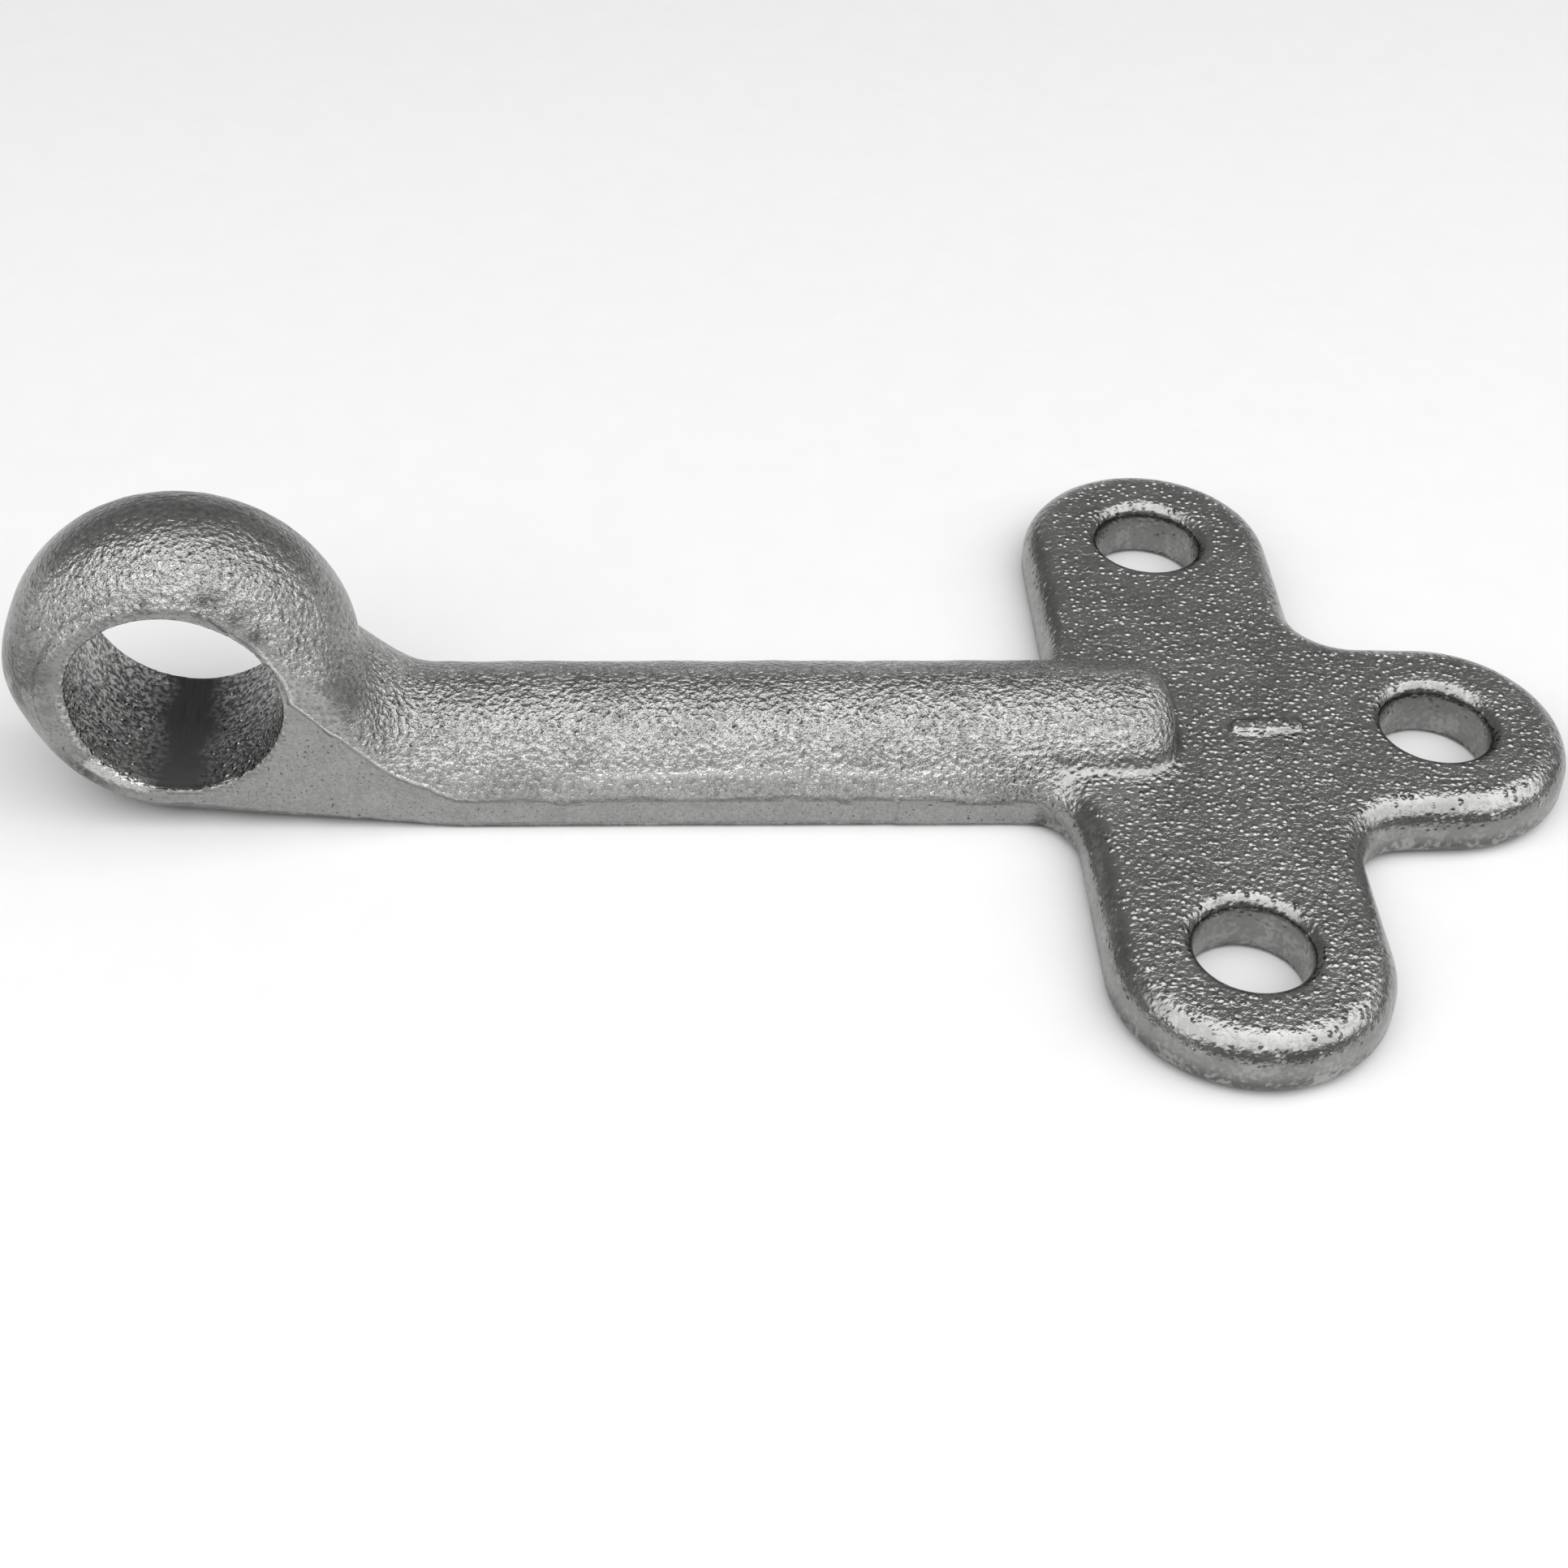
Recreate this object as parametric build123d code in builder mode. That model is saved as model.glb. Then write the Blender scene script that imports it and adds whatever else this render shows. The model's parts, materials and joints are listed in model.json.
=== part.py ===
from build123d import *
import os
from math import cos, radians, sin, sqrt, tan

# A one-piece galvanised forging: an eye for a cross pin, a D-section shank and a flat
# foot with three bolt lugs.
#
# Frame: the origin is on the mounting face, midway between the two side lugs' holes.
# +X points to the tip lug, +Y runs across the foot, +Z rises out of the mounting face.
# All sizes are in millimetres.

# Foot plate
plate_thickness = 6.0
plate_top_rounding = 3.2
plate_bottom_rounding = 1.5
lobe_radius = 13.35
side_hole_y = 31.1
tip_hole_x = 24.4
tip_lobe_flare = 1.8  # degrees that each side of the tip lobe opens towards the shank
tip_crotch_radius = 5.4
shank_crotch_radius = 6.8
plate_root_x = -30.0  # the plate's root ends here, inside the shank
plate_root_width = 16.6
bolt_hole_radius = 5.5
bolt_hole_rim_rounding = 1.3
bolt_holes = [(0, side_hole_y), (0, -side_hole_y), (tip_hole_x, 0)]

# Shank, which is as wide as the eye
body_width = 17.2
half_width = body_width / 2
shank_height = 11.4
shank_side_height = 3.25
shank_end_x = -2.6
shank_end_rounding = 4.2
trimmed_edge_rounding = 0.3

# Eye
eye_x = -99.3
eye_z = 15.2
bore_radius = 10.25
crown_x = eye_x + 0.35  # the crown's centre is a little off the bore's axis
crown_z = eye_z - 0.25
eye_face_radius = 11.5
cheek_radius = 12.3  # flat trimmed cheeks round the lower part of the bore
cheek_top = 2.0  # height of the cheeks above the bore's axis
eye_radius = 16.65

# Gusset between the eye and the shank, given at distances from the eye's axis
ridge_foot = 23.6
ridge_angle = radians(33)
ridge_blend = 5.0
flank_foot = 29.9
flank_angle = radians(45)
flank_blend = 16.0
keel_foot = 26.0
keel_slope = 0.175
gusset_start = 4.0
gusset_end = 32.0
shank_start_x = eye_x + gusset_end
gusset_stations = 15

# Raised bar on the plate
bar_centre_x = 6.8
bar_centre_y = -0.95
bar_length = 7.4
bar_width = 2.0
bar_height = 0.5
bar_angle = 3.5


def climb(distance, angle, blend):
    """Height gained over a distance by a line at an angle that starts with a tangent arc."""
    if distance <= 0:
        return 0.0
    arc_run = blend * sin(angle)
    if distance < arc_run:
        return blend - sqrt(blend**2 - distance**2)
    return blend * (1 - cos(angle)) + (distance - arc_run) * tan(angle)


def ridge_height(from_eye):
    return shank_height + climb(ridge_foot - from_eye, ridge_angle, ridge_blend)


def flank_height(from_eye):
    return shank_side_height + climb(flank_foot - from_eye, flank_angle, flank_blend)


def keel_rounding(from_eye):
    return trimmed_edge_rounding + max(0.0, keel_foot - from_eye) * keel_slope


def d_section(flank, ridge, keel):
    """D-section outline, flat below and half an ellipse above, with rounded lower corners."""
    Line((-half_width + keel, 0), (half_width - keel, 0))
    RadiusArc((half_width - keel, 0), (half_width, keel), -keel)
    Line((half_width, keel), (half_width, flank))
    EllipticalCenterArc((0, flank), half_width, ridge - flank, 0, arc_size=180)
    Line((-half_width, flank), (-half_width, keel))
    RadiusArc((-half_width, keel), (-half_width + keel, 0), -keel)


# The plate that carries the three lugs, before its holes.
with BuildPart() as foot_plate:
    with BuildSketch():
        SlotCenterToCenter(2 * side_hole_y, 2 * lobe_radius, rotation=90)
        with Locations((tip_hole_x, 0)):
            Circle(lobe_radius)
        flare = radians(tip_lobe_flare)
        tangent_x = tip_hole_x + lobe_radius * sin(flare)
        tangent_y = lobe_radius * cos(flare)
        root_y = tangent_y + tangent_x * tan(flare)
        with BuildLine():
            Polyline(
                (0, -root_y), (tangent_x, -tangent_y), (tangent_x, tangent_y), (0, root_y), close=True
            )
        make_face()
        with Locations((plate_root_x / 2, 0)):
            Rectangle(-plate_root_x, plate_root_width)
        crotch_radii = {lobe_radius: tip_crotch_radius, -lobe_radius: shank_crotch_radius}
        for lug_side, crotch_radius in crotch_radii.items():
            crotches = vertices().filter_by(
                lambda v: abs(v.X - lug_side) < 0.01 and abs(v.Y) < side_hole_y - 1
            )
            fillet(crotches, radius=crotch_radius)
    extrude(amount=plate_thickness)
    fillet(faces().sort_by(Axis.Z)[-1].edges(), radius=plate_top_rounding)
    fillet(faces().sort_by(Axis.Z)[0].edges(), radius=plate_bottom_rounding)

# The straight shank, which dies into the plate as a rounded rib.
with BuildPart() as shank:
    with BuildSketch(Plane.YZ.offset(shank_start_x)):
        with BuildLine():
            Line((-half_width, 0), (half_width, 0))
            Line((half_width, 0), (half_width, shank_side_height))
            EllipticalCenterArc(
                (0, shank_side_height), half_width, shank_height - shank_side_height, 0, arc_size=180
            )
            Line((-half_width, shank_side_height), (-half_width, 0))
        make_face()
    extrude(amount=shank_end_x - shank_start_x)
    fillet(faces().sort_by(Axis.X)[-1].edges().sort_by(Axis.Z)[1:], radius=shank_end_rounding)
    lower_edges = faces().sort_by(Axis.Z)[0].edges().sort_by(Axis.X)[1:]
    fillet(lower_edges, radius=trimmed_edge_rounding)

# The gusset, where the D-section climbs from the shank to the eye.
with BuildPart() as gusset:
    for station in range(gusset_stations):
        from_eye = gusset_start + (gusset_end - gusset_start) * station / (gusset_stations - 1)
        with BuildSketch(Plane.YZ.offset(eye_x + from_eye)):
            with BuildLine():
                d_section(flank_height(from_eye), ridge_height(from_eye), keel_rounding(from_eye))
            make_face()
    loft()

# The eye, a crowned ring flattened level with the mounting face, still without its bore.
with BuildPart() as eye:
    with BuildSketch(Plane.XY.offset(crown_z)):
        with BuildLine():
            ThreePointArc(
                (crown_x + eye_face_radius, -half_width),
                (crown_x + eye_radius, 0),
                (crown_x + eye_face_radius, half_width),
            )
            Polyline(
                (crown_x + eye_face_radius, half_width),
                (crown_x, half_width),
                (crown_x, -half_width),
                (crown_x + eye_face_radius, -half_width),
            )
        make_face()
    revolve(axis=Axis((crown_x, 0, crown_z), (0, 1, 0)))
    split(bisect_by=Plane.XY, keep=Keep.TOP)

# The flat cheeks on both sides of the eye's lower half.
with BuildPart() as cheeks:
    with BuildSketch(Plane.XZ.offset(-half_width)):
        with Locations((eye_x, eye_z)):
            Circle(cheek_radius)
        with Locations((eye_x, eye_z + cheek_top + cheek_radius)):
            Rectangle(2 * cheek_radius, 2 * cheek_radius, mode=Mode.SUBTRACT)
    extrude(amount=body_width)

# The forging: its regions joined, then bored.
with BuildPart() as eye_bracket:
    add(foot_plate.part)
    add(shank.part)
    add(gusset.part)
    add(eye.part)
    add(cheeks.part)
    with BuildSketch(Plane.XY.offset(plate_thickness - bar_height)):
        with Locations((bar_centre_x, bar_centre_y)):
            SlotOverall(bar_length, bar_width, rotation=bar_angle)
    extrude(amount=2 * bar_height)
    with Locations(Plane((eye_x, 0, eye_z), z_dir=(0, -1, 0))):
        Hole(bore_radius)
    with Locations(*bolt_holes):
        Hole(bolt_hole_radius)
    upper_rims = edges().filter_by(GeomType.CIRCLE).filter_by(
        lambda e: abs(e.radius - bolt_hole_radius) < 0.01 and e.center().Z > plate_thickness / 2
    )
    fillet(upper_rims, radius=bolt_hole_rim_rounding)

os.makedirs("parts", exist_ok=True)
eye_bracket.part.label = "eye_bracket"
export_step(eye_bracket.part, "parts/eye_bracket.step")
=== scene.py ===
import json
import math

import bpy
import numpy as np
from mathutils import Matrix, Vector


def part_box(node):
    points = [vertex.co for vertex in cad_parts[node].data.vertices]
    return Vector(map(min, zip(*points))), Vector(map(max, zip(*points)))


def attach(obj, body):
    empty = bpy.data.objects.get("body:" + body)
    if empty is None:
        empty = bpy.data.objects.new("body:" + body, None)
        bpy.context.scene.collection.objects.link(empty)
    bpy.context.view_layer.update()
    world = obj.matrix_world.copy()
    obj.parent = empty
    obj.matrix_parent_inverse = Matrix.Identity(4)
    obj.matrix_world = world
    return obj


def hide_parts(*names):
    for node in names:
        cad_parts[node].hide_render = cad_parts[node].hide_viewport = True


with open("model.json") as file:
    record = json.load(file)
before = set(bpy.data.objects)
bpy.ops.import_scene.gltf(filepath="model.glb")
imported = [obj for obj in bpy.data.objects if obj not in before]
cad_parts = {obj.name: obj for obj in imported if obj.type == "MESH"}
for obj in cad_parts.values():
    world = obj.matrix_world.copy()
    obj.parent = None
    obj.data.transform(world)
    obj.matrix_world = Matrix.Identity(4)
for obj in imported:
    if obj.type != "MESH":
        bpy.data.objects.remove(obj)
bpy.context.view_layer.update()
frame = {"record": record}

# A galvanised forged eye bracket. The skin is made here at high resolution from a distance
# field that follows the CAD part, and it stands for the CAD node. Lengths are in millimetres
# until a mesh, light or camera is made, and MM turns them into metres.
MM = 0.001
NODE = "eye_bracket"

# Sizes that the frame gives.
mounts = {mount["name"]: mount for mount in frame["record"]["mounts"]}
cad_low, cad_high = (np.array(corner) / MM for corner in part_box(NODE))
EYE_X, _, EYE_Z = np.array(mounts["eye_bore"]["pos_m"]) / MM
BORE_R = mounts["eye_bore"]["dims"]["r_mm"]
HALF_WIDTH = mounts["eye_bore"]["dims"]["length_mm"] / 2
SIDE_Y = mounts["side_lug_holes"]["dims"]["spacing_y_mm"] / 2
TIP_X = mounts["tip_lug_hole"]["pos_m"][0] / MM
BOLT_R = mounts["side_lug_holes"]["dims"]["hole_r_mm"]
LOBE_R = cad_high[1] - SIDE_Y

# Foot plate
PLATE_TOP = 6.0
PLATE_TOP_ROUNDING = 3.2
PLATE_BOTTOM_ROUNDING = 1.5
TIP_FLARE = math.radians(1.8)
TIP_CROTCH_R = 5.4
SHANK_CROTCH_R = 6.8
ROOT_HALF_WIDTH = 8.3
ROOT_X = -30.0
HOLE_TOP_ROUNDING = 1.4
HOLE_BOTTOM_ROUNDING = 0.3
BOLT_HOLES = ((0.0, SIDE_Y), (0.0, -SIDE_Y), (TIP_X, 0.0))

# Shank
SHANK_HEIGHT = 11.4
SHANK_SIDE_HEIGHT = 3.25
SHANK_END_X = -2.6
SHANK_END_ROUNDING = 4.2
RIB_BLEND = 1.4
TRIM_CREASE = 0.9  # how far above its widest line the shank's top is trimmed
SHANK_POWER = 2.05

# A faint raised line along the shank's sides, coloured lighter as a painted highlight
SEAM_START, SEAM_END, SEAM_Z = -66.0, -20.0, 6.1
SEAM_HALF_WIDTH, SEAM_HEIGHT = 0.4, 0.08

# Eye
CROWN_R = 16.65
CROWN_X = cad_low[0] + CROWN_R
CROWN_Z = cad_high[2] - CROWN_R
CROWN_FACE_R = 11.5
CROWN_SWELL, CROWN_SWELL_TURN = 0.5, 0.22  # fuller at mid height, on the side away from the foot
EYE_BLEND, NEAR_SIDE_BLEND = 0.5, 6.0  # into the gusset, and what the near side adds
BORE_ROUNDING = 0.4
BORE_LIP, BORE_LIP_TURN = 0.8, math.radians(-168)  # metal pressed over the bore's rim
CHEEK_R = 12.3
CHEEK_BLEND = 0.8
CHEEK_TOP_DROP = 1.6  # the cheek is lower by this much over the bore's top
TRIM_ROUNDING = 0.15

# Gusset, at distances from the eye's axis
RIDGE_FOOT, RIDGE_ANGLE, RIDGE_BLEND = 23.6, math.radians(33), 5.0
FLANK_FOOT, FLANK_ANGLE, FLANK_BLEND = 29.9, math.radians(45), 16.0
KEEL_FOOT, KEEL_SLOPE, KEEL_ROUNDING = 26.0, 0.175, 0.35
GUSSET_TOP_START = 6.0
GUSSET_STEEPNESS = 0.8  # evens out the field where the sections climb
GUSSET_POWER = 1.72  # the D-section is peakier than an ellipse in the gusset
GUSSET_PEAK_AT, GUSSET_PEAK_REACH = 20.0, 4.5

# Raised bar on the plate
BAR_X, BAR_Y = 6.8, -0.95
BAR_LENGTH, BAR_WIDTH, BAR_HEIGHT = 7.4, 2.0, 0.5
BAR_ANGLE = math.radians(3.5)
BAR_TILT = 0.06
BAR_ROUNDING = 0.3

# Where the skin is smoother than elsewhere: centre and reach
SMOOTH_SPOTS = [
    ((EYE_X + 15.5, -7.0, 15.0), 3.4),
    ((-1.0, 3.0, 8.8), 2.0),
    ((-17.0, -10.5, 5.0), 1.8),
]

# Dark residue by the bore's rim, and painted shade on the lower part of the ring: centre and
# reach
RESIDUE_AND_SHADE_SPOTS = [
    ((EYE_X + 4.6, -8.0, EYE_Z + 11.6), 1.3),
    ((EYE_X + 6.9, -8.0, EYE_Z + 10.2), 1.2),
    ((EYE_X + 8.4, -8.3, EYE_Z + 8.2), 1.0),
    ((EYE_X - 1.5, -8.2, EYE_Z + 11.8), 0.9),
    # Painted shade on the ring's left and lower left
    ((EYE_X - 14.5, -4.5, EYE_Z + 2.0), 5.5),
    ((EYE_X - 10.0, -8.0, EYE_Z - 9.0), 3.5),
]

# Turns the relief off the axes, so that no row of bumps lines up with a face
RELIEF_TURN = np.array([[0.36, 0.48, -0.8], [-0.8, 0.6, 0.0], [0.48, 0.64, 0.6]])

LATTICE_SHIFT = 4096  # keeps the noise's lattice numbers above zero

# Relief of the zinc skin: height, wavelength and seed of each layer
SWELL_LAYERS = ((0.04, 11.0, 1), (0.03, 5.0, 2))
GRAIN_LAYERS = ((0.04, 2.2, 3), (0.025, 1.3, 4))

# Sampling of the distance field
CELL = 0.42
MARGIN_CELLS = 3
SLAB = 24  # grid layers that are worked out at a time
GRADIENT_STEP = 0.03
SETTLE_ROUNDS = 3

# Colours of the zinc, from its dull to its bright patches, of what shows in it, and of the
# painted shade and painted highlights on it
ZINC_DULL, ZINC_BRIGHT = (0.345, 0.347, 0.338, 1), (0.43, 0.432, 0.422, 1)
# Painted shade for the grain's dips, and a painted highlight colour used on crests, the seam, the
# burr and the bore's pebbles
ZINC_DIP_SHADE, ZINC_PAINTED_HIGHLIGHT = (0.17, 0.17, 0.168, 1), (0.62, 0.62, 0.61, 1)
# Darker where worn; on the crown's outer rim and the plate's edges this is painted shade
ZINC_WORN_AND_SHADE = (0.18, 0.18, 0.178, 1)
TRIM_DARK, TRIM_LIGHT = (0.26, 0.26, 0.253, 1), (0.38, 0.38, 0.37, 1)
BORE_DARK, BORE_LIGHT = (0.05, 0.05, 0.05, 1), (0.15, 0.15, 0.15, 1)
# Painted shade: the dark ground of the bore's pebbles
PEBBLE_GROUND_SHADE = (0.14, 0.14, 0.138, 1)
STRIP_ZINC = (0.6, 0.6, 0.59, 1)
# Dark residue, also used for the trim's pits and for painted shade on the edges and the ring
RESIDUE_AND_SHADE = (0.09, 0.09, 0.085, 1)
CREASE_SHADOW = (0.1, 0.1, 0.095, 1)
FLOOR_DARK, FLOOR_LIGHT = (0.79, 0.79, 0.79, 1), (0.83, 0.83, 0.83, 1)


# ---------------------------------------------------------------- distance field


def length(*parts):
    return np.sqrt(sum(part * part for part in parts))


def fade(value, zero_at, one_at):
    """0 to 1 as the value goes from one limit to the other, and flat beyond them."""
    return np.clip((value - zero_at) / (one_at - zero_at), 0.0, 1.0)


def smooth_union(a, b, blend):
    share = np.maximum(blend - np.abs(a - b), 0.0) / blend
    return np.minimum(a, b) - share * share * blend / 4


def round_union(a, b, radius):
    """Union whose inner corner is a fillet of the radius."""
    corner = length(np.maximum(radius - a, 0.0), np.maximum(radius - b, 0.0))
    return np.maximum(radius, np.minimum(a, b)) - corner


def round_cut(a, b, radius):
    """Intersection whose outer corner is rounded to the radius."""
    corner = length(np.maximum(radius + a, 0.0), np.maximum(radius + b, 0.0))
    return np.minimum(-radius, np.maximum(a, b)) + corner


def climb(distance, angle, blend):
    """Height gained over a distance by a line at an angle that starts with a tangent arc."""
    distance = np.maximum(distance, 0.0)
    arc_run = blend * math.sin(angle)
    on_arc = blend - np.sqrt(np.maximum(blend**2 - np.minimum(distance, arc_run) ** 2, 0.0))
    return on_arc + np.maximum(distance - arc_run, 0.0) * math.tan(angle)


def flank_height(x):
    return SHANK_SIDE_HEIGHT + climb(FLANK_FOOT - (x - EYE_X), FLANK_ANGLE, FLANK_BLEND)


def ridge_height(x):
    return SHANK_HEIGHT + climb(RIDGE_FOOT - (x - EYE_X), RIDGE_ANGLE, RIDGE_BLEND)


def plate(x, y, z):
    side_lugs = length(x, np.maximum(np.abs(y) - SIDE_Y, 0.0)) - LOBE_R
    ahead = x - TIP_X
    across = np.abs(y)
    past_tip = ahead * math.cos(TIP_FLARE) - across * math.sin(TIP_FLARE) > 0
    flank = ahead * math.sin(TIP_FLARE) + across * math.cos(TIP_FLARE) - LOBE_R
    tip_lobe = np.where(past_tip, length(ahead, across) - LOBE_R, np.maximum(flank, -x))
    root = np.maximum(np.maximum(across - ROOT_HALF_WIDTH, x), ROOT_X - x)
    outline = round_union(side_lugs, tip_lobe, TIP_CROTCH_R)
    outline = round_union(outline, root, SHANK_CROTCH_R)
    upper = round_cut(outline, z - PLATE_TOP, PLATE_TOP_ROUNDING)
    lower = round_cut(outline, -z, PLATE_BOTTOM_ROUNDING)
    return np.maximum(upper, lower)


def bar(x, y, z):
    along = (x - BAR_X) * math.cos(BAR_ANGLE) + (y - BAR_Y) * math.sin(BAR_ANGLE)
    across = (y - BAR_Y) * math.cos(BAR_ANGLE) - (x - BAR_X) * math.sin(BAR_ANGLE)
    run = (BAR_LENGTH - BAR_WIDTH) / 2
    outline = length(np.maximum(np.abs(along) - run, 0.0), across) - BAR_WIDTH / 2
    top = PLATE_TOP + BAR_HEIGHT + BAR_TILT * across
    return round_cut(outline, z - top, BAR_ROUNDING)


def shank(x, y, z):
    """The D-section, which climbs towards the eye and ends in a rounded rib on the plate."""
    centre = flank_height(x) - TRIM_CREASE
    rise = np.maximum(ridge_height(x) - centre, 3 * TRIM_CREASE)
    in_gusset = np.exp(-(((x - EYE_X - GUSSET_PEAK_AT) / GUSSET_PEAK_REACH) ** 2))
    power = SHANK_POWER - (SHANK_POWER - GUSSET_POWER) * in_gusset
    half = HALF_WIDTH / (1 - (TRIM_CREASE / rise) ** power) ** (1 / power)
    up = np.maximum(z - centre, 0.0)
    near = ((np.abs(y) / half) ** power + (up / rise) ** power) ** (1 / power)
    slope = length(y / half**2, up / rise**2)
    section = near * (near - 1) / np.maximum(slope, 1e-6)
    climbing = fade(x, EYE_X + RIDGE_FOOT, EYE_X + 0.75 * RIDGE_FOOT)
    section = section * (1 - (1 - GUSSET_STEEPNESS) * climbing)
    start = np.where(z > EYE_Z, EYE_X + GUSSET_TOP_START, EYE_X)
    return round_cut(np.maximum(section, start - x), x - SHANK_END_X, SHANK_END_ROUNDING)


def crown(x, y, z):
    """The eye's outside: a circular arc swept round the crown's centre."""
    reach = CROWN_R - CROWN_FACE_R
    arc_r = (HALF_WIDTH**2 + reach**2) / (2 * reach)
    radius = length(x - CROWN_X, z - CROWN_Z)
    turn = np.arctan2(z - CROWN_Z, CROWN_X - x)
    swell = CROWN_SWELL * np.exp(-((turn / CROWN_SWELL_TURN) ** 2))
    ring = length(np.maximum(radius - swell - CROWN_R + arc_r, 0.0), y) - arc_r
    cheek_r = CHEEK_R - CHEEK_TOP_DROP * fade(turn, 0.2, 1.1)
    cheek = length(x - EYE_X, z - EYE_Z) - cheek_r
    return smooth_union(ring, cheek, CHEEK_BLEND)


def bracket(x, y, z):
    """Signed distance to the bracket's surface: below zero inside."""
    near_side = fade(x, EYE_X + 8.0, EYE_X + 14.0) * fade(y, 0.0, -7.0)
    blend = EYE_BLEND + NEAR_SIDE_BLEND * near_side
    body = smooth_union(crown(x, y, z), shank(x, y, z), blend)
    keel = KEEL_ROUNDING + np.clip(KEEL_FOOT - (x - EYE_X), 0.0, KEEL_FOOT) * KEEL_SLOPE
    sides = round_cut(np.abs(y) - HALF_WIDTH, -z, keel)
    body = round_cut(body, sides, TRIM_ROUNDING)
    foot = smooth_union(plate(x, y, z), bar(x, y, z), BAR_ROUNDING)
    body = smooth_union(body, foot, RIB_BLEND)
    body = np.maximum(body, -z)
    turn = np.arctan2(z - EYE_Z, x - EYE_X)
    overhang = BORE_LIP * np.exp(6 * (np.cos(turn - BORE_LIP_TURN) - 1))
    overhang = overhang * fade(y, 1.5 - HALF_WIDTH, 0.5 - HALF_WIDTH)
    body = round_cut(body, BORE_R - overhang - length(x - EYE_X, z - EYE_Z), BORE_ROUNDING)
    rim = np.where(z > PLATE_TOP / 2, HOLE_TOP_ROUNDING, HOLE_BOTTOM_ROUNDING)
    for hole_x, hole_y in BOLT_HOLES:
        body = round_cut(body, BOLT_R - length(x - hole_x, y - hole_y), rim)
    return body


def gradient(points):
    slopes = []
    for axis in range(3):
        step = np.zeros(3)
        step[axis] = GRADIENT_STEP
        ahead = bracket(*(points + step).T)
        behind = bracket(*(points - step).T)
        slopes.append((ahead - behind) / (2 * GRADIENT_STEP))
    return np.stack(slopes, 1)


# ---------------------------------------------------------------- surface mesh


def sample_grid(low, counts):
    values = np.empty(counts, np.float32)
    ys = (low[1] + CELL * np.arange(counts[1]))[None, :, None]
    zs = (low[2] + CELL * np.arange(counts[2]))[None, None, :]
    for start in range(0, counts[0], SLAB):
        end = min(start + SLAB, counts[0])
        xs = (low[0] + CELL * np.arange(start, end))[:, None, None]
        values[start:end] = bracket(*np.broadcast_arrays(xs, ys, zs))
    return values


def surface_net(values, low):
    """Vertices and quads of the zero surface: one vertex in each cell that it passes through."""
    inside = values < 0
    corners = [(i, j, k) for i in (0, 1) for j in (0, 1) for k in (0, 1)]
    cells = tuple(n - 1 for n in values.shape)
    filled = np.zeros(cells, np.int8)
    for i, j, k in corners:
        filled += inside[i:i + cells[0], j:j + cells[1], k:k + cells[2]]
    active = (filled > 0) & (filled < 8)
    places = np.argwhere(active)
    at_corner = [
        values[places[:, 0] + i, places[:, 1] + j, places[:, 2] + k] for i, j, k in corners
    ]
    total = np.zeros((len(places), 3))
    crossings = np.zeros(len(places))
    for a in range(8):
        for b in range(a + 1, 8):
            step = np.subtract(corners[b], corners[a])
            if np.abs(step).sum() != 1:
                continue
            crossed = (at_corner[a] < 0) != (at_corner[b] < 0)
            span = np.where(crossed, at_corner[a] - at_corner[b], 1.0)
            share = np.where(crossed, at_corner[a] / span, 0.0)
            total += crossed[:, None] * (np.array(corners[a]) + share[:, None] * step)
            crossings += crossed
    points = low + CELL * (places + total / crossings[:, None])
    number = np.full(cells, -1, np.int64)
    number[active] = np.arange(len(places))
    quads = []
    for axis in range(3):
        right, up = (axis + 1) % 3, (axis + 2) % 3
        here = inside.take(range(cells[axis]), axis)
        there = inside.take(range(1, cells[axis] + 1), axis)
        for leaving in (True, False):
            edges = np.argwhere((here & ~there) if leaving else (there & ~here))
            edges = edges[(edges[:, right] > 0) & (edges[:, up] > 0)]
            edges = edges[(edges[:, right] < cells[right]) & (edges[:, up] < cells[up])]
            ring = []
            for back_right, back_up in ((1, 1), (0, 1), (0, 0), (1, 0)):
                cell = edges.copy()
                cell[:, right] -= back_right
                cell[:, up] -= back_up
                ring.append(number[tuple(cell.T)])
            quads.append(np.stack(ring if leaving else ring[::-1], 1))
    return points, np.concatenate(quads)


def settle(points):
    """Moves the points onto the zero surface along its slope."""
    for _ in range(SETTLE_ROUNDS):
        slope = gradient(points)
        steep = np.maximum((slope**2).sum(1), 0.2)
        move = slope * (bracket(*points.T) / steep)[:, None]
        far = np.maximum(np.linalg.norm(move, axis=1) / (0.5 * CELL), 1.0)
        points = points - move / far[:, None]
    return points


# ---------------------------------------------------------------- relief


def lattice(i, j, k, seed):
    """A repeatable number from -1 to 1 for each lattice point."""
    key = (i * 73856093) ^ (j * 19349663) ^ (k * 83492791) ^ (seed * 2654435761)
    key = (key ^ (key >> 13)) * 1274126177 & 0xFFFFFFFF
    key = (key ^ (key >> 16)) * 2246822519 & 0xFFFFFFFF
    return ((key ^ (key >> 15)) & 0xFFFFFF) / float(0x7FFFFF) - 1.0


def noise(points, wavelength, seed):
    spot = points @ RELIEF_TURN / wavelength
    base = np.floor(spot).astype(np.int64)
    part = spot - base
    base = base + LATTICE_SHIFT
    ease = part**3 * (part * (part * 6 - 15) + 10)
    total = 0.0
    for i in (0, 1):
        for j in (0, 1):
            for k in (0, 1):
                weight = 1.0
                for axis, corner in enumerate((i, j, k)):
                    weight = weight * (ease[:, axis] if corner else 1 - ease[:, axis])
                value = lattice(base[:, 0] + i, base[:, 1] + j, base[:, 2] + k, seed)
                total = total + weight * value
    return total


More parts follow.
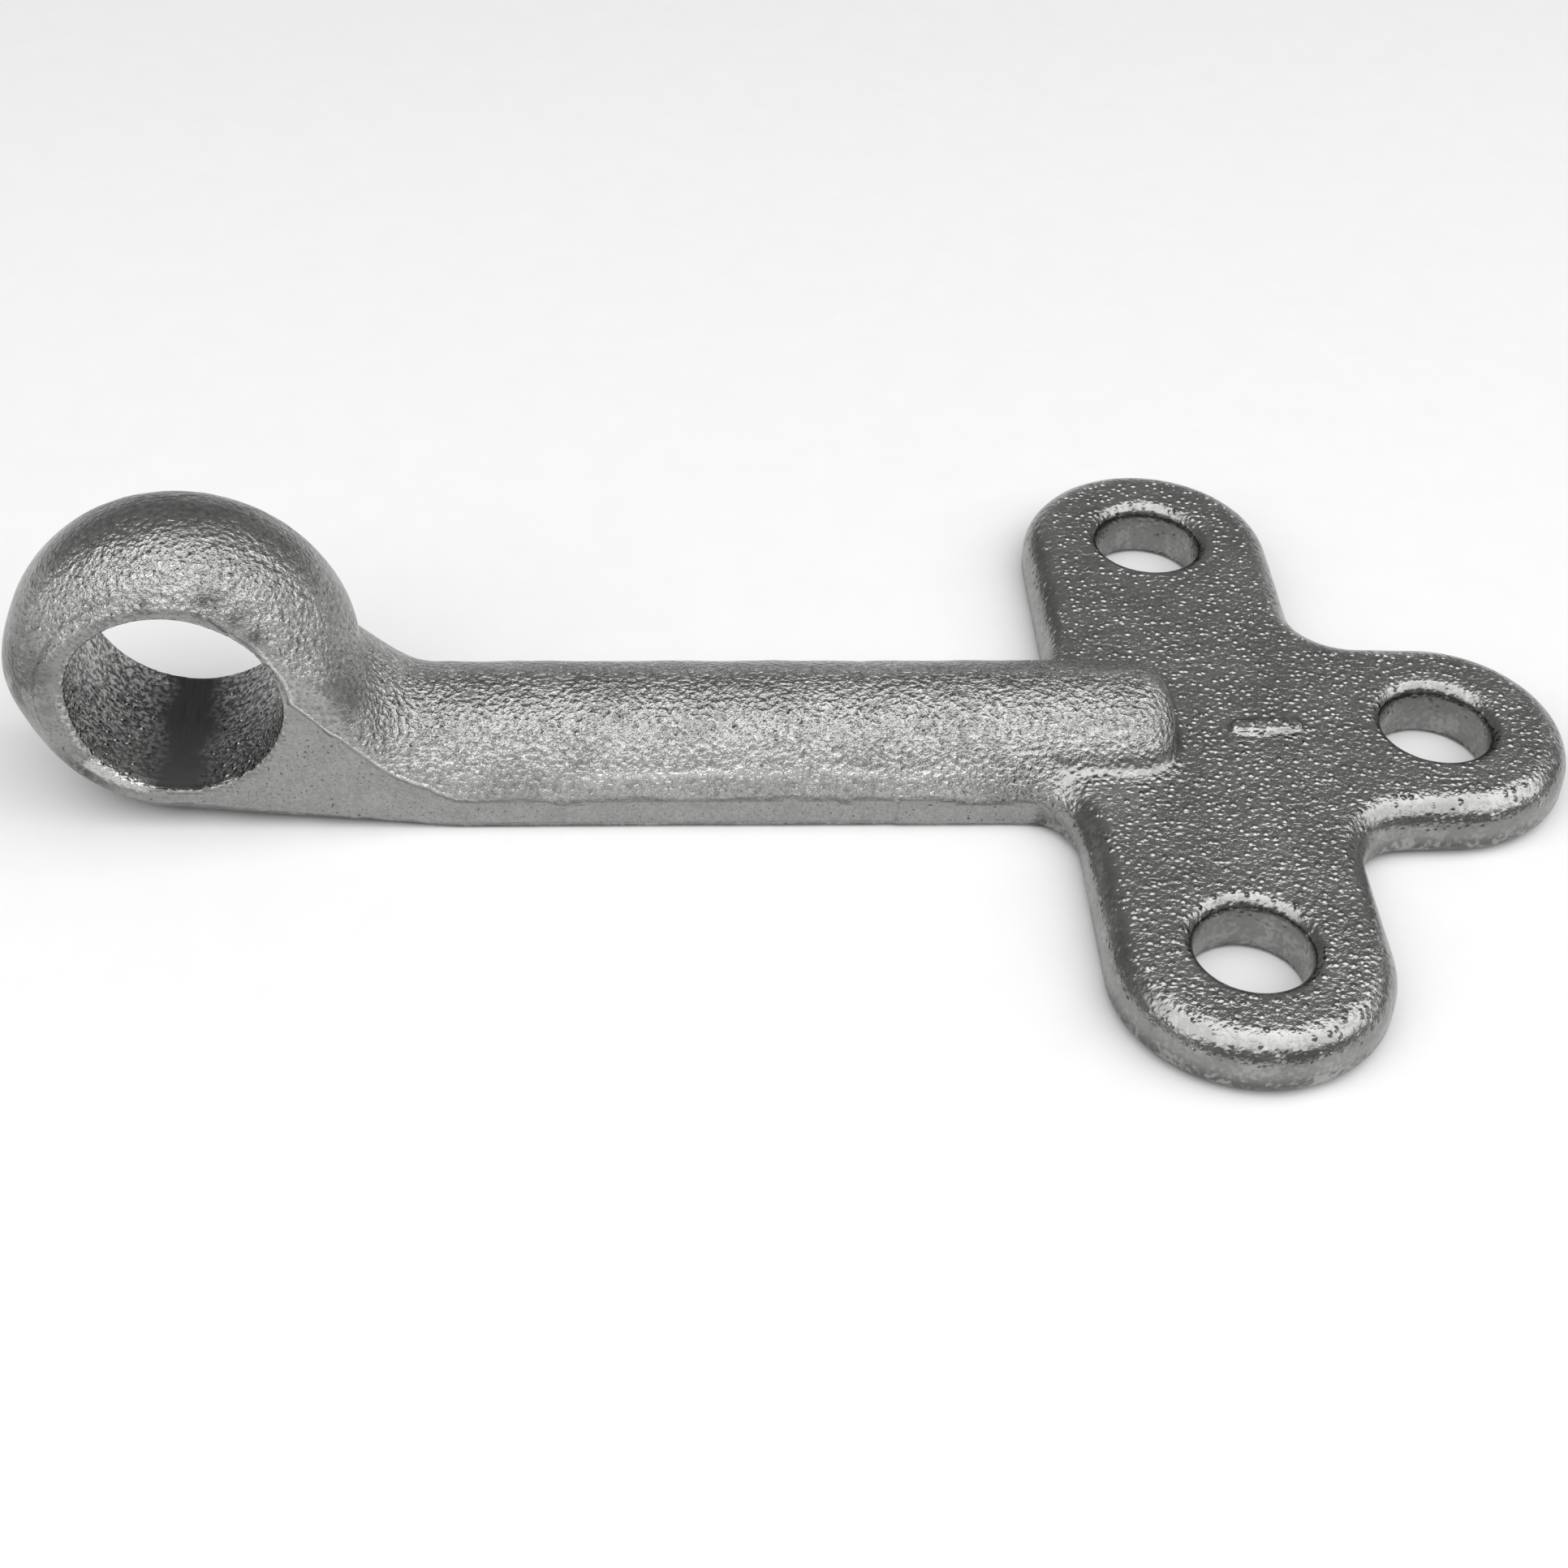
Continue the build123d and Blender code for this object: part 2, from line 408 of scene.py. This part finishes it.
def trim_margin(x, z):
    """Distance inside the outline of the trimmed side, below zero outside it.

    Before the gusset only the cheek round the bore counts.
    """
    below_flank = (flank_height(x) - z) * math.cos(FLANK_ANGLE / 2)
    cheek_r = CHEEK_R - 1.4 * fade(x, EYE_X, EYE_X + 6.0)
    in_cheek = cheek_r - length(x - EYE_X, z - EYE_Z)
    before_gusset = fade(x, EYE_X + 2.0, EYE_X - 1.0)
    return np.maximum(in_cheek, below_flank - 60.0 * before_gusset)


def nearest_spot(points, spots, strength, most):
    """The weight of the strongest spot at each point: each fades out from its centre."""
    weight = np.zeros(len(points))
    for centre, reach in spots:
        near = np.exp(-(((points - np.array(centre)) ** 2).sum(1)) / reach**2)
        weight = np.maximum(weight, np.clip(strength * near, 0, most))
    return weight


def layered(points, layers):
    return sum(height * noise(points, wavelength, seed) for height, wavelength, seed in layers)


def zones(points, normals):
    """Weights for the shader, each at every point."""
    x, y, z = points.T
    out = np.abs(y)
    turn = np.arctan2(z - EYE_Z, x - EYE_X)
    from_axis = length(x - EYE_X, z - EYE_Z)
    ragged = 0.8 * noise(points, 3.0, 9) + 0.5 * noise(points, 1.2, 10)
    before_lugs = fade(x, -LOBE_R, -LOBE_R - 3.0)

    # The trimmed sides of the eye and the shank, whose outline wanders a little. The margin
    # is pushed far below zero everywhere else.
    wander = 0.15 + 0.1 * fade(x, EYE_X + 20.0, EYE_X + 30.0)
    margin = trim_margin(x, z) + wander * (noise(points, 1.6, 7) + noise(points, 5.0, 8))
    margin = margin - 3.0 * (1 - fade(out, HALF_WIDTH - 1.4, HALF_WIDTH - 1.1) * before_lugs)
    flat = fade(np.abs(normals[:, 1]), 0.9, 0.96)
    flat = flat * fade(out, HALF_WIDTH - 0.45, HALF_WIDTH - 0.25)
    flat = flat * fade(margin, -0.1, 0.0) * fade(x, -LOBE_R - 1.5, -LOBE_R - 4.5)
    in_bore = fade(from_axis, BORE_R + 0.2, BORE_R)

    # Worn places: the crown's rim, the bore's floor, a few spots and the plate's edges. In the
    # shader the same weight darkens the colour, which on the crown's outer rim and the plate's
    # edges is painted shade.
    worn_band = fade(length(x - CROWN_X, z - CROWN_Z) + 0.4 * ragged, 15.5, 16.3)
    worn_band = worn_band * np.where(x < EYE_X, 1.0, fade(z, 18.0, 23.0))
    bore_floor = fade(np.abs(turn + 1.62) - 0.1 * ragged, 0.42, 0.17) * in_bore
    smooth = np.maximum(0.7 * worn_band, bore_floor)
    smooth = np.maximum(smooth, nearest_spot(points, SMOOTH_SPOTS, 0.9 + 0.3 * ragged, 0.8))
    rough = np.maximum(fade(z, PLATE_TOP + 0.4, PLATE_TOP + 1.9), before_lugs)
    rough = rough * (1 - 0.8 * in_bore)
    edge = fade(normals[:, 2], 0.98, 0.83) * (1 - rough) * (1 - in_bore)
    smooth = np.maximum(smooth, 0.75 * edge)

    # A rough strip runs along the bore's lower left rim, inside the trimmed cheek.
    strip = fade(from_axis - 0.3 * ragged, BORE_R + 1.2, BORE_R + 1.0)
    strip = strip * fade(np.abs(turn + 2.12) - 0.1 * ragged, 0.36, 0.26)

    off_seam = z - SEAM_Z - 0.25 * noise(points, 6.0, 5)
    seam = np.exp(-((off_seam / SEAM_HALF_WIDTH) ** 2)) * (0.7 + 0.5 * noise(points, 1.6, 6))
    seam = seam * (out > HALF_WIDTH - 1.6)
    seam = seam * fade(x, SEAM_START, SEAM_START + 8.0) * fade(x, SEAM_END, SEAM_END - 6.0)

    in_hole = np.zeros(len(x))
    for hole_x, hole_y in BOLT_HOLES:
        in_hole = np.maximum(in_hole, length(x - hole_x, y - hole_y) < BOLT_R + 1.0)
    in_hole = in_hole * (z < PLATE_TOP - 1)

    # Residue low on the sides and over the underside, and by the bore's rim. The same dark colour
    # is put in the holes, and as painted shade along the plate's edges, where it dims their
    # highlight, and in two spots on the ring.
    grime_and_shade = fade(z, 3.8, 1.4) * (1 - in_hole) * (1 - flat)
    grime_and_shade = np.maximum(grime_and_shade, np.maximum(0.5 * in_hole, 0.4 * edge))
    grime_and_shade = np.maximum(grime_and_shade, nearest_spot(points, RESIDUE_AND_SHADE_SPOTS, 1.2 + 0.5 * ragged, 1.0))

    burr_end = np.maximum(fade(x, EYE_X + 33.0, EYE_X + 21.0), 0.1)
    return {
        "trimmed": flat * (1 - in_bore) * (1 - strip),
        # Weight of the bore's painted shade, which fades towards its near end as painted light
        # reaching in; it also flattens the relief
        "bore": in_bore * (1 - 0.5 * fade(y, 2.0, -7.0)),
        "smooth": np.maximum(smooth, 0.85 * in_hole),
        "rough": rough,
        "strip": strip * (out > HALF_WIDTH - 1) * (y < 0),
        "margin": margin,
        "burr": fade(x, EYE_X + 6.0, EYE_X + 9.0) * burr_end,
        "grime_and_shade": grime_and_shade,
        "seam": seam,
    }


def add_relief(points, normals, zone):
    """Raises the points into the zinc skin, which is flatter where it is trimmed or worn."""
    skin = (1 - zone["trimmed"]) * (1 - 0.5 * zone["bore"]) * (1 - 0.8 * zone["smooth"])
    skin = skin * np.where(points[:, 2] > 0.3, 1.0, 0.3) * (0.55 + 0.45 * zone["rough"])
    height = layered(points, SWELL_LAYERS) * (0.3 + 0.7 * skin)
    height = height + layered(points, GRAIN_LAYERS) * skin + SEAM_HEIGHT * zone["seam"]
    return points + normals * height[:, None]


# ---------------------------------------------------------------- objects


def make_skin():
    low = cad_low - MARGIN_CELLS * CELL
    counts = np.ceil((cad_high - cad_low) / CELL).astype(int) + 2 * MARGIN_CELLS + 1
    points, quads = surface_net(sample_grid(low, counts), low)
    points = settle(points)
    normals = gradient(points)
    normals /= np.linalg.norm(normals, axis=1)[:, None]
    zone = zones(points, normals)
    points = add_relief(points, normals, zone)
    mesh = bpy.data.meshes.new("bracket_skin")
    mesh.vertices.add(len(points))
    mesh.vertices.foreach_set("co", (points * MM).astype(np.float32).ravel())
    mesh.loops.add(quads.size)
    mesh.loops.foreach_set("vertex_index", quads.astype(np.int32).ravel())
    mesh.polygons.add(len(quads))
    mesh.polygons.foreach_set("loop_start", np.arange(0, quads.size, 4, dtype=np.int32))
    mesh.polygons.foreach_set("use_smooth", np.ones(len(quads), bool))
    mesh.update(calc_edges=True)
    for name, amount in zone.items():
        layer = mesh.attributes.new(name, "FLOAT", "POINT")
        layer.data.foreach_set("value", amount.astype(np.float32))
    skin = bpy.data.objects.new("bracket_skin", mesh)
    bpy.context.scene.collection.objects.link(skin)
    return skin


# ---------------------------------------------------------------- material


class Nodes:
    """Short calls that add and join shader nodes."""

    def __init__(self, material):
        material.use_nodes = True
        self.tree = material.node_tree
        self.tree.nodes.clear()

    def add(self, kind, inputs=None, **settings):
        node = self.tree.nodes.new(kind)
        for name, value in settings.items():
            setattr(node, name, value)
        for name, value in (inputs or {}).items():
            if isinstance(value, bpy.types.NodeSocket):
                self.tree.links.new(value, node.inputs[name])
            else:
                node.inputs[name].default_value = value
        return node

    def math(self, operation, a, b, clamp=False):
        node = self.add("ShaderNodeMath", {0: a, 1: b}, operation=operation, use_clamp=clamp)
        return node.outputs[0]

    def times(self, a, b):
        return self.math("MULTIPLY", a, b)

    def plus(self, a, b):
        return self.math("ADD", a, b)

    def ramp(self, value, low, high, to_low=0.0, to_high=1.0):
        names = {
            "Value": value, "From Min": low, "From Max": high, "To Min": to_low, "To Max": to_high
        }
        node = self.add("ShaderNodeMapRange", names, interpolation_type="SMOOTHSTEP")
        return node.outputs["Result"]

    def noise(self, vector, scale, detail=2.0, rough=0.5):
        names = {"Vector": vector, "Scale": scale, "Detail": detail, "Roughness": rough}
        return self.add("ShaderNodeTexNoise", names).outputs["Fac"]

    def mix(self, share, a, b):
        """Colour a where the share is 0 and colour b where it is 1."""
        return self.add("ShaderNodeMix", {0: share, 6: a, 7: b}, data_type="RGBA").outputs[2]


def galvanised_zinc():
    material = bpy.data.materials.new("galvanised_zinc")
    n = Nodes(material)
    place = n.add("ShaderNodeTexCoord").outputs["Object"]
    mm = n.add("ShaderNodeVectorMath", {0: place, 3: 1 / MM}, operation="SCALE").outputs[0]
    trimmed, in_bore, smooth, rough_skin, strip, margin, burred, grimy_and_shaded, seam = (
        n.add("ShaderNodeAttribute", attribute_name=name).outputs["Fac"]
        for name in (
            "trimmed", "bore", "smooth", "rough", "strip", "margin", "burr", "grime_and_shade", "seam"
        )
    )

    # Zinc pebbles: round bumps of uneven height on a flatter ground.
    cells = n.add("ShaderNodeTexVoronoi", {"Vector": mm, "Scale": 1.25}, feature="F1").outputs
    cell_value = n.add("ShaderNodeSeparateColor", {0: cells["Color"]}).outputs[0]
    tall = n.ramp(cell_value, 0.0, 1.0, 0.2)
    pebbles = n.times(n.ramp(cells["Distance"], 0.5, 0.0), tall)

    # Noises, from the finest to the widest, and one drawn out along the bore.
    fine = n.noise(mm, 4.5, 3.0, 0.6)
    grain = n.noise(mm, 1.9, 3.0, 0.5)
    blotches = n.noise(mm, 0.45, 2.0, 0.5)
    patches = n.noise(mm, 0.16, 3.0, 0.55)
    soiled = n.plus(n.times(grain, 0.6), n.times(blotches, 0.4))
    stretch = {0: mm, 1: (9.0, 0.35, 2.0)}
    along = n.add("ShaderNodeVectorMath", stretch, operation="MULTIPLY").outputs[0]
    axial_lines = n.noise(along, 0.5, 2.0, 0.6)

    # Height in millimetres. The foot has taller pebbles, and the shank and eye more grain.
    skin = n.math("SUBTRACT", 1.0, n.math("MAXIMUM", trimmed, smooth))
    pebble_height = n.times(pebbles, n.ramp(rough_skin, 0.0, 1.0, 0.36, 0.14))
    grain_height = n.times(grain, n.ramp(rough_skin, 0.0, 1.0, 0.25, 0.48))
    coarse = n.times(n.plus(pebble_height, grain_height), skin)
    height = n.plus(coarse, n.times(fine, n.ramp(rough_skin, 0.0, 1.0, 0.02, 0.045)))

    # The burr that trimming left, coloured as a painted highlight, with a painted shadow in the
    # hollow under it.
    line = n.times(n.ramp(margin, -0.55, -0.3), n.ramp(margin, 0.05, -0.15))
    burr = n.times(line, burred)
    crease = n.times(line, n.math("SUBTRACT", 0.75, burred, clamp=True))
    under = n.times(n.ramp(margin, -0.05, 0.1), n.ramp(margin, 0.4, 0.15))
    hollow = n.math("MAXIMUM", crease, n.times(under, n.times(burred, 0.5)))
    height = n.plus(height, n.times(burr, 0.12))
    bump = n.add("ShaderNodeBump", {"Strength": 1.0, "Distance": MM, "Height": height})

    # The zinc skin: painted shade in its dips, painted highlights on its crests and along the
    # seam, and darker where it is worn, which on the crown's outer rim and the plate's edges is
    # also painted shade.
    colour = n.mix(n.ramp(patches, 0.35, 0.65), ZINC_DULL, ZINC_BRIGHT)
    # Painted shade in the grain's dips
    dip_shade = n.times(n.ramp(grain, 0.5, 0.3), n.ramp(rough_skin, 0.0, 1.0, 0.2, 0.6))
    colour = n.mix(dip_shade, colour, ZINC_DIP_SHADE)
    # Painted highlight on the grain's crests and along the seam
    crest_highlight = n.times(n.ramp(grain, 0.5, 0.68), n.times(rough_skin, 0.5))
    colour = n.mix(n.math("ADD", crest_highlight, seam, clamp=True), colour, ZINC_PAINTED_HIGHLIGHT)
    # Darker where worn, and painted shade on the crown's outer rim and the plate's edges
    colour = n.mix(n.times(smooth, 0.35), colour, ZINC_WORN_AND_SHADE)

    # The trimmed sides: mottled, with a few pits.
    pit = n.ramp(n.noise(mm, 2.8, 2.0, 0.5), 0.37, 0.3)
    mottle = n.plus(n.times(fine, 0.6), n.times(soiled, 0.4))
    trim_colour = n.mix(n.ramp(mottle, 0.35, 0.65), TRIM_DARK, TRIM_LIGHT)
    trim_colour = n.mix(pit, trim_colour, RESIDUE_AND_SHADE)
    colour = n.mix(trimmed, colour, trim_colour)

    # What is painted on them: the burr's painted highlight, painted shadow in the hollow under
    # it, residue, and painted shade on the plate's edges and the ring's lower part.
    # Painted highlight on the burr, and painted shadow in the hollow under it
    colour = n.mix(burr, colour, ZINC_PAINTED_HIGHLIGHT)
    broken_hollow = n.times(hollow, n.ramp(soiled, 0.42, 0.58, 0.15, 0.85))
    colour = n.mix(broken_hollow, colour, CREASE_SHADOW)
    # Residue, and painted shade along the plate's edges and on the ring's lower part
    grime_and_shade = n.times(n.times(grimy_and_shaded, 0.9), n.ramp(soiled, 0.38, 0.54))
    colour = n.mix(grime_and_shade, colour, RESIDUE_AND_SHADE)

    # The bore: painted shade over its pebbled ground with painted highlights on the pebbles, and
    # worn to fine lines on its floor, which is dark partly as worn metal and partly as painted
    # shade.
    pebbled = n.mix(n.ramp(grain, 0.42, 0.62), PEBBLE_GROUND_SHADE, ZINC_PAINTED_HIGHLIGHT)
    bore_colour = n.mix(smooth, pebbled, n.mix(axial_lines, BORE_DARK, BORE_LIGHT))
    colour = n.mix(in_bore, colour, bore_colour)
    colour = n.mix(strip, colour, STRIP_ZINC)

    rough = n.plus(n.ramp(fine, 0.3, 0.7, 0.17, 0.27), n.times(trimmed, 0.2))
    normal = bump.outputs["Normal"]
    shader = n.add(
        "ShaderNodeBsdfPrincipled",
        {"Base Color": colour, "Metallic": 1.0, "Roughness": rough, "Normal": normal},
    )
    n.add("ShaderNodeOutputMaterial", {"Surface": shader.outputs["BSDF"]})
    return material


def paper_white():
    material = bpy.data.materials.new("paper_white")
    n = Nodes(material)
    place = n.add("ShaderNodeTexCoord").outputs["Object"]
    tooth = n.noise(place, 180.0, 3.0, 0.6)
    shade = n.mix(tooth, FLOOR_DARK, FLOOR_LIGHT)
    shader = n.add("ShaderNodeBsdfPrincipled", {"Base Color": shade, "Roughness": 0.8})
    n.add("ShaderNodeOutputMaterial", {"Surface": shader.outputs["BSDF"]})
    return material


# ---------------------------------------------------------------- studio, in metres

FLOOR_HALF_SIDE = 3.0
FLOOR_GAP = 0.0002  # keeps the floor clear of the foot's flat underside
LIGHT_AIM = Vector((-0.045, 0, 0))
CAMERA_AZIMUTH, CAMERA_ELEVATION, CAMERA_ROLL = -4.10, 41.21, 2.52
CAMERA_DISTANCE = 0.261
CAMERA_AIM = Vector((-0.04434, 0, 0.00012))
LENS_MM, SENSOR_MM = 59.68, 36.0
SHIFT_X, SHIFT_Y = 0.0208, -0.0107
NEAREST = 0.01


def make_floor():
    mesh = bpy.data.meshes.new("floor")
    side = FLOOR_HALF_SIDE
    corners = [(-side, -side, 0), (side, -side, 0), (side, side, 0), (-side, side, 0)]
    mesh.from_pydata(corners, [], [(0, 1, 2, 3)])
    floor = bpy.data.objects.new("floor", mesh)
    floor.location.z = -FLOOR_GAP
    mesh.materials.append(paper_white())
    bpy.context.scene.collection.objects.link(floor)


def direction(azimuth, elevation):
    """Unit vector from the object, with azimuth 0 along -Y and both angles in degrees."""
    a, e = math.radians(azimuth), math.radians(elevation)
    return Vector((math.sin(a) * math.cos(e), -math.cos(a) * math.cos(e), math.sin(e)))


def make_light(name, azimuth, elevation, distance, width, depth, watts):
    light = bpy.data.lights.new(name, "AREA")
    light.shape = "RECTANGLE"
    light.size = width
    light.size_y = depth
    light.energy = watts
    lamp = bpy.data.objects.new(name, light)
    way = direction(azimuth, elevation)
    lamp.location = LIGHT_AIM + way * distance
    lamp.rotation_euler = way.to_track_quat("Z", "Y").to_euler()
    bpy.context.scene.collection.objects.link(lamp)


def make_world(strength):
    world = bpy.data.worlds.new("studio")
    world.use_nodes = True
    background = world.node_tree.nodes["Background"]
    background.inputs["Color"].default_value = (1, 1, 1, 1)
    background.inputs["Strength"].default_value = strength
    bpy.context.scene.world = world


def make_camera():
    back = direction(CAMERA_AZIMUTH, CAMERA_ELEVATION)
    azimuth = math.radians(CAMERA_AZIMUTH)
    right = Vector((math.cos(azimuth), math.sin(azimuth), 0))
    level = Matrix((right, back.cross(right), back)).transposed()
    turn = level @ Matrix.Rotation(math.radians(CAMERA_ROLL), 3, "Z")
    data = bpy.data.cameras.new("camera")
    data.lens = LENS_MM
    data.sensor_width = SENSOR_MM
    data.shift_x = SHIFT_X
    data.shift_y = SHIFT_Y
    data.clip_start = NEAREST
    camera = bpy.data.objects.new("camera", data)
    camera.matrix_world = Matrix.Translation(CAMERA_AIM + back * CAMERA_DISTANCE) @ turn.to_4x4()
    bpy.context.scene.collection.objects.link(camera)
    bpy.context.scene.camera = camera


make_camera()
make_floor()
make_light(
    "softbox", azimuth=10, elevation=70, distance=0.6, width=3.0, depth=0.76, watts=14.2
)
make_world(strength=0.26)
bpy.context.scene.view_settings.view_transform = "Standard"

skin = make_skin()
skin.data.materials.append(galvanised_zinc())
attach(skin, "root")
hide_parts(NODE)
